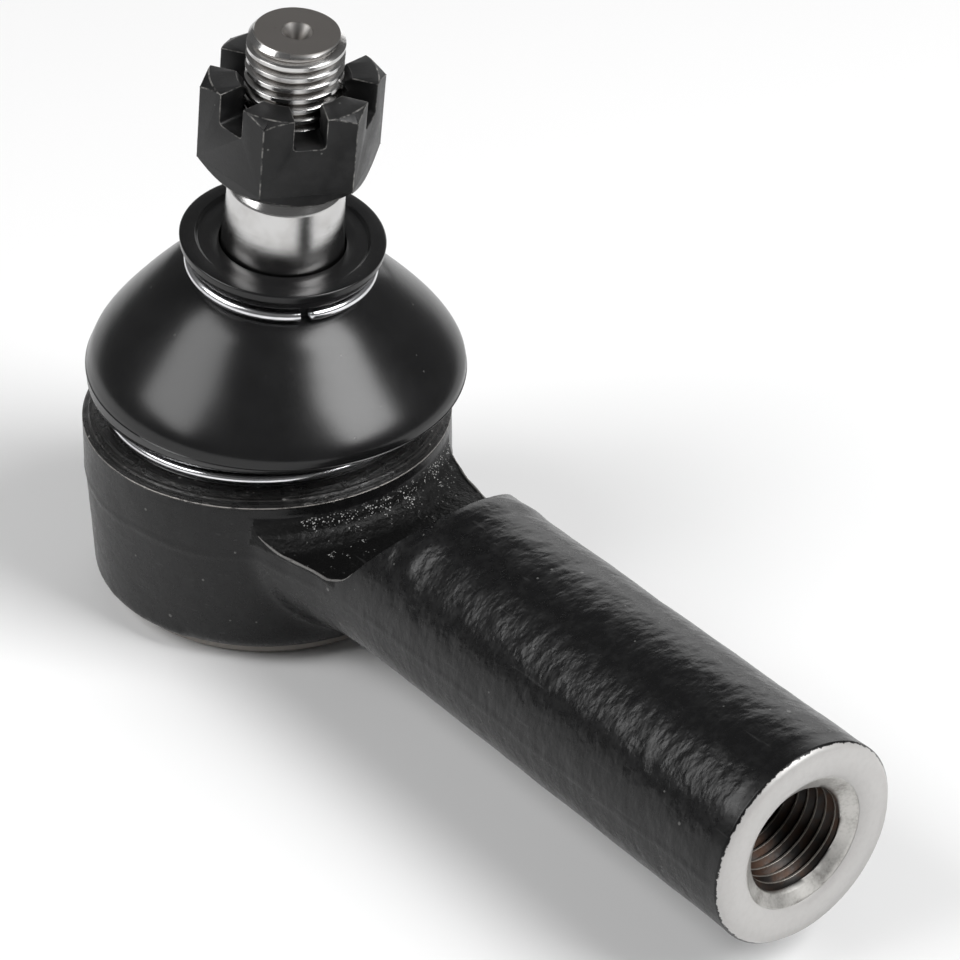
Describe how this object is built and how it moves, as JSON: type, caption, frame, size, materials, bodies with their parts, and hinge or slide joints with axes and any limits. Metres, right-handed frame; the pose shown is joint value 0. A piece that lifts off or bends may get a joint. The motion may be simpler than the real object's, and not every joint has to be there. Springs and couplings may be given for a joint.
{
  "type": "tie rod end",
  "caption": "Steering tie rod end: ball stud with castle nut and rubber dust boot, held in a forged eye whose round shank has a female thread.",
  "frame": {"origin": "centre of the ball, where the socket axis meets the shank axis", "axes": "+Z along the socket axis towards the stud, +X along the shank towards its threaded end; at rest the stud leans 8 degrees towards +X"},
  "size_m": [0.1065, 0.0406, 0.0687],
  "materials": {
    "black_forging": "glossy black paint over a forged skin",
    "bare_steel": "bare pressed steel",
    "spring_steel": "oiled spring steel",
    "bearing_plastic": "natural acetal, greased",
    "ground_steel": "ground and rolled steel",
    "boot_rubber": "satin moulded rubber",
    "zinc_wire": "bright zinc-plated wire",
    "black_nut": "black phosphate, edges worn bright"
  },
  "bodies": {
    "rod_end": {"housing": "black_forging", "end_cover": "bare_steel", "disc_spring": "spring_steel", "upper_bearing": "bearing_plastic", "boot_lower_ring": "zinc_wire"},
    "pressure_plate": {"spring_plate": "bare_steel"},
    "ball_seat": {"lower_bearing": "bearing_plastic", "dust_boot": "boot_rubber"},
    "boot_collar": {"boot_upper_ring": "zinc_wire"},
    "stud": {"ball_stud": "ground_steel"},
    "nut": {"castle_nut": "black_nut"}
  },
  "joints": [
    {"name": "preload_travel", "type": "slide", "parent": "rod_end", "child": "pressure_plate", "axis": [0, 0, -1], "range_m": [0, 0.0003], "stiffness_N_per_m": 50000, "springref_m": -0.001, "deforming": ["disc_spring"]},
    {"name": "seat_swivel", "type": "hinge", "parent": "pressure_plate", "child": "ball_seat", "pos_m": [0, 0, 0], "axis": [0, 0, 1], "continuous": true},
    {"name": "stud_tilt", "type": "hinge", "parent": "ball_seat", "child": "boot_collar", "pos_m": [0, 0, 0], "axis": [0, 1, 0], "range_deg": [-32, 16], "deforming": ["dust_boot"]},
    {"name": "stud_spin", "type": "hinge", "parent": "boot_collar", "child": "stud", "pos_m": [0, 0, 0], "axis": [0.1392, 0, 0.9903], "continuous": true},
    {"name": "nut_turn", "type": "hinge", "parent": "stud", "child": "nut", "pos_m": [0, 0, 0], "axis": [0.1392, 0, 0.9903], "continuous": true}
  ]
}
